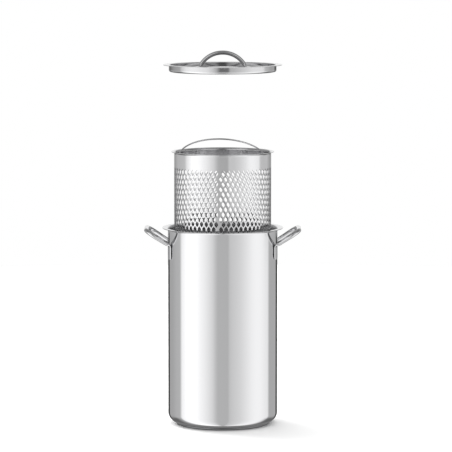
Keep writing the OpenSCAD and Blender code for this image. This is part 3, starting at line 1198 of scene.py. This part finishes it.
class Studio:
    """Camera, lights, surround and floor of the product photograph."""

    # Brightness of the surround by azimuth in degrees, 0 towards the viewer: below the horizon
    LOW = (
        (-180, 0.5), (-166, 0.5), (-164, 0.03), (-151, 0.03), (-149, 0.44), (-132, 0.45),
        (-114, 0.54), (-101.5, 0.56), (-96, 1.12), (-88, 1.24), (-77, 1.4), (-57, 1.32),
        (-48, 1.19), (-39, 1.09), (-30, 0.965), (-21, 0.82), (-15, 0.66), (-10, 0.56),
        (11, 0.55), (14, 0.66), (20, 0.72), (37.5, 0.835), (56, 1.014), (65, 1.096),
        (75, 1.14), (86, 1.14), (110, 0.98), (115.5, 0.49), (149, 0.47), (151, 0.03),
        (164, 0.03), (166, 0.5),
    )
    # The same at the level of the strainer
    MIDDLE = (
        (-180, 0.45), (-158, 0.38), (-150, 0.42), (-134, 0.57), (-102, 0.66), (-94, 1.0), (-84, 1.22),
        (-77, 1.4), (-57, 1.32), (-39, 1.09), (-21, 0.82), (-15, 0.66), (-10, 0.54), (12.5, 0.54),
        (14.5, 0.74), (27, 0.71), (42, 0.83), (55, 0.97), (68, 1.17), (80, 1.15), (96, 1.03),
        (100, 0.74), (104, 0.63), (130, 0.64), (140, 0.5), (150, 0.4),
    )
    # The same at the level of the lid, where a dark gap between the panels faces the viewer
    LEVEL = (
        (-180, 0.5), (-166, 0.5), (-160, 0.1), (-145, 0.22), (-128, 0.37), (-104, 0.46),
        (-100, 0.7), (-85, 0.98), (-68, 1.06), (-54, 1.0), (-33, 0.9), (-20, 0.67),
        (-13, 0.5), (-9, 0.3), (-5, 0.13), (12, 0.14), (16, 0.5), (32, 0.62), (53, 0.78),
        (67, 0.9), (93, 0.92), (99, 0.85), (104, 0.6), (126, 0.42), (143, 0.45),
        (150, 0.1), (162, 0.1), (166, 0.5),
    )
    # The same well over the horizon, where the rods find their stripes
    HIGH = (
        (-180, 0.36), (-130, 0.36), (-85, 0.2), (-66, 0.25), (-58, 0.68), (-12, 0.68), (-7, 0.22),
        (7, 0.22), (12, 0.62), (52, 0.62), (60, 0.2), (100, 0.14), (130, 0.36),
    )
    PEAK = 1.5  # brightness of a ramp's white
    # From one table to the next, by the height of a ray's direction
    TO_MIDDLE = (-0.106, -0.102)
    TO_LEVEL = (-0.074, -0.054)
    TO_HIGH = (0.16, 0.3)
    TO_TOP = (0.6, 0.85)
    TOP_TONE = 0.25
    # The floor behind the base lies in its own shadow
    SHADE_FALL = (0.22, 0.45)
    SHADE_BACK = (0.05, 0.55)
    SHADE_TONE = 0.15
    # A bright screen stands behind the pot, over the horizon
    SCREEN_RISE = (-0.04, -0.015)
    SCREEN_BACK = (0.85, 0.97)
    SCREEN_TONE = 0.9
    # What reaches the lens by two reflections has crossed the pot's own shade
    SECOND_DEPTH = (1.2, 1.8)
    SECOND_RISE = (0.05, 0.15)
    SECOND_LOSS = 0.5
    FILL = 1.2  # strength of the white that rough surfaces see
    CAMERA_PLACE = (0.0049, -4.29, 0.7435)
    CAMERA_DIP = 5.98  # degrees under the level
    LENS = 232.5
    # Place, width and power in watts of each light, and the height that they aim at
    LIGHTS = {"key": ((-0.35, 0.62, 2.6), 1.2, 22.0), "side": ((-1.6, 1.3, 1.2), 1.6, 45.0)}
    AIM_Z = 0.2
    FLOOR_RINGS = (0.0, 0.3, 0.8, 1.4, 2.0)
    # Painted shadow: a dark glowing disc under the pot, seen only in reflections, stands for the
    # floor's contact shade
    UNDER_RINGS = ((0.0, 0.0002), (0.078, 0.0002))
    UNDER_SHADOW_TONE = 0.22

    def camera(self) -> None:
        """The long lens a little above the rim."""
        data = bpy.data.cameras.new("camera")
        data.lens = self.LENS
        data.sensor_width = 36.0
        data.clip_start, data.clip_end = 0.1, 100.0
        camera = bpy.data.objects.new("camera", data)
        camera.location = self.CAMERA_PLACE
        camera.rotation_euler = (math.radians(90 - self.CAMERA_DIP), 0.0, 0.0)
        bpy.context.scene.collection.objects.link(camera)
        bpy.context.scene.camera = camera

    @staticmethod
    def step(tree: Tree, value: Socket, span: tuple[float, float]) -> Socket:
        """A soft step from 0 at the span's start to 1 at its end.

        Args:
            tree: the node tree.
            value: what the step follows.
            span: its start and end.

        Returns:
            The step's value.
        """
        node = add_node(tree, "ShaderNodeMapRange", From_Min=span[0], From_Max=span[1])
        node.interpolation_type = "SMOOTHSTEP"
        tree.links.new(value, node.inputs["Value"])
        return node.outputs[0]

    @staticmethod
    def blend(tree: Tree, share: Socket, first: object, second: object) -> Socket:
        """A mix of two greys or sockets.

        Args:
            tree: the node tree.
            share: the second one's share.
            first: a grey or a socket.
            second: a grey or a socket.

        Returns:
            The mixed colour.
        """
        node = tree.nodes.new("ShaderNodeMix")
        node.data_type = "RGBA"
        tree.links.new(share, node.inputs[0])
        for socket, value in zip(node.inputs[6:8], (first, second)):
            if isinstance(value, Socket):
                tree.links.new(value, socket)
            else:
                socket.default_value = (value, value, value, 1.0)
        return node.outputs[2]

    def ramp(self, tree: Tree, share: Socket, stops: tuple) -> Socket:
        """A colour ramp through stops of azimuth and brightness.

        Args:
            tree: the node tree.
            share: the azimuth as a share of a full turn.
            stops: azimuth in degrees and brightness of each stop.

        Returns:
            The ramp's colour, as a share of the peak brightness.
        """
        node = tree.nodes.new("ShaderNodeValToRGB")
        tree.links.new(share, node.inputs[0])
        elements = node.color_ramp.elements
        while len(elements) < len(stops):
            elements.new(0.5)
        for element, (turn, value) in zip(elements, stops):
            element.position = (turn + 180) / 360
            element.color = (*[value / self.PEAK] * 3, 1.0)
        return node.outputs[0]

    def surround(self) -> None:
        """White to the camera, a plain fill to rough surfaces, and panels by azimuth to the rest."""
        world = bpy.data.worlds.new("surround")
        bpy.context.scene.world = world
        tree = empty_tree(world)
        link = tree.links.new
        coords = tree.nodes.new("ShaderNodeTexCoord")
        split = tree.nodes.new("ShaderNodeSeparateXYZ")
        link(coords.outputs["Generated"], split.inputs[0])
        x, y, z = split.outputs
        azimuth = math_node(tree, "ARCTAN2", x, math_node(tree, "MULTIPLY", y, -1.0))
        share = math_node(tree, "ADD", math_node(tree, "DIVIDE", azimuth, 2 * math.pi), 0.5)
        low, middle, level, high = (
            self.ramp(tree, share, stops) for stops in (self.LOW, self.MIDDLE, self.LEVEL, self.HIGH)
        )
        tone = self.blend(tree, self.step(tree, z, self.TO_MIDDLE), low, middle)
        tone = self.blend(tree, self.step(tree, z, self.TO_LEVEL), tone, level)
        depth = self.step(tree, math_node(tree, "MULTIPLY", z, -1.0), self.SHADE_FALL)
        shade = math_node(tree, "MULTIPLY", depth, self.step(tree, y, self.SHADE_BACK))
        tone = self.blend(tree, shade, tone, self.SHADE_TONE / self.PEAK)
        tone = self.blend(tree, self.step(tree, z, self.TO_HIGH), tone, high)
        tone = self.blend(tree, self.step(tree, z, self.TO_TOP), tone, self.TOP_TONE / self.PEAK)
        rise = self.step(tree, z, self.SCREEN_RISE)
        screen = math_node(tree, "MULTIPLY", rise, self.step(tree, y, self.SCREEN_BACK))
        tone = self.blend(tree, screen, tone, self.SCREEN_TONE / self.PEAK)
        path = tree.nodes.new("ShaderNodeLightPath")
        again = self.step(tree, path.outputs["Glossy Depth"], self.SECOND_DEPTH)
        again = math_node(tree, "MULTIPLY", again, self.step(tree, z, self.SECOND_RISE))
        loss = math_node(tree, "MULTIPLY", again, self.SECOND_LOSS)
        seen = add_node(tree, "ShaderNodeBackground", Strength=self.PEAK)
        link(self.blend(tree, loss, tone, 0.0), seen.inputs["Color"])
        white, fill = (
            add_node(tree, "ShaderNodeBackground", Color=(1.0, 1.0, 1.0, 1.0), Strength=strength)
            for strength in (1.0, self.FILL)
        )
        shader = mix_shader(tree, path.outputs["Is Diffuse Ray"], seen, fill)
        shader = mix_shader(tree, path.outputs["Is Camera Ray"], shader, white)
        output = tree.nodes.new("ShaderNodeOutputWorld")
        link(shader.outputs[0], output.inputs["Surface"])

    def light(self, name: str, place: tuple[float, float, float], size: float, power: float) -> None:
        """A soft panel aimed at the pot, unseen in reflections.

        Args:
            name: the light's name.
            place: where it stands.
            size: its width.
            power: its power in watts.
        """
        data = bpy.data.lights.new(name, "AREA")
        data.shape = "DISK"
        data.size = size
        data.energy = power
        lamp = bpy.data.objects.new(name, data)
        lamp.location = place
        aim = np.array([0.0, 0.0, self.AIM_Z]) - np.array(place)
        flat = math.hypot(aim[0], aim[1])
        lamp.rotation_euler = (math.atan2(flat, -aim[2]), 0.0, math.atan2(-aim[0], aim[1]))
        lamp.visible_glossy = False
        bpy.context.scene.collection.objects.link(lamp)

    def floor(self) -> None:
        """A white sweep that keeps the pot's soft shadow."""
        material = bpy.data.materials.new("floor_white")
        material.use_nodes = True
        shader = material.node_tree.nodes["Principled BSDF"]
        shader.inputs["Base Color"].default_value = (0.9, 0.9, 0.9, 1.0)
        shader.inputs["Roughness"].default_value = 0.9
        shader.inputs["Specular IOR Level"].default_value = 0.0
        rings = np.array([(r, 0.0) for r in self.FLOOR_RINGS])
        floor = new_object("floor", lathe(rings, circle(SOFT_ROUND)), material)
        floor.visible_glossy = False
        floor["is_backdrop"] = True

    def painted_floor_shadow(self) -> None:
        """Painted shadow: a dark glowing disc under the pot that stands for the floor's contact
        shadow, which only reflections show.
        """
        material = bpy.data.materials.new("floor_shade")
        tree = empty_tree(material)
        tone = self.UNDER_SHADOW_TONE
        # The glow's grey is painted shadow: the floor's contact shade as the base's reflections show
        # it
        glow = add_node(tree, "ShaderNodeEmission", Color=(tone, tone, tone, 1.0))
        output = tree.nodes.new("ShaderNodeOutputMaterial")
        tree.links.new(glow.outputs[0], output.inputs["Surface"])
        disc = lathe(np.array(self.UNDER_RINGS), circle(SOFT_ROUND))
        spot = new_object("floor_shadow_spot", disc, material)
        spot.visible_camera = spot.visible_diffuse = spot.visible_shadow = False
        spot.visible_transmission = spot.visible_volume_scatter = False
        spot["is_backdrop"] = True

    def build(self) -> None:
        """Sets up the whole studio."""
        bpy.context.scene.view_settings.view_transform = "Standard"
        self.camera()
        self.surround()
        for name, (place, size, power) in self.LIGHTS.items():
            self.light(name, place, size, power)
        self.floor()
        self.painted_floor_shadow()


def corners() -> list[list[float]]:
    """Lowest and highest corners of the shown object."""
    return [[float(v) for v in corner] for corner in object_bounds()]


def main() -> None:
    """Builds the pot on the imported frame."""
    logging.basicConfig(level=logging.INFO, format="%(name)s %(message)s")
    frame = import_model()
    sections = [
        Pot(PotSizes(), GripSizes()),
        Lid(LidSizes(), KnobSizes()),
        Strainer(StrainerSizes()),
        Bail(BailSizes()),
    ]
    for section in sections:
        for piece in section.pieces():
            piece.place()
    kept = {
        "base_core": Metal.CORE,
        "strainer_base": Metal.SHEET,
        "bail_ear_left": Metal.BORE,
        "bail_ear_right": Metal.BORE,
    }
    for node, metal in kept.items():
        materials = frame["nodes"][node].data.materials
        materials.clear()
        materials.append(metal_material(metal))
    Studio().build()


if __name__ == "__main__":
    main()
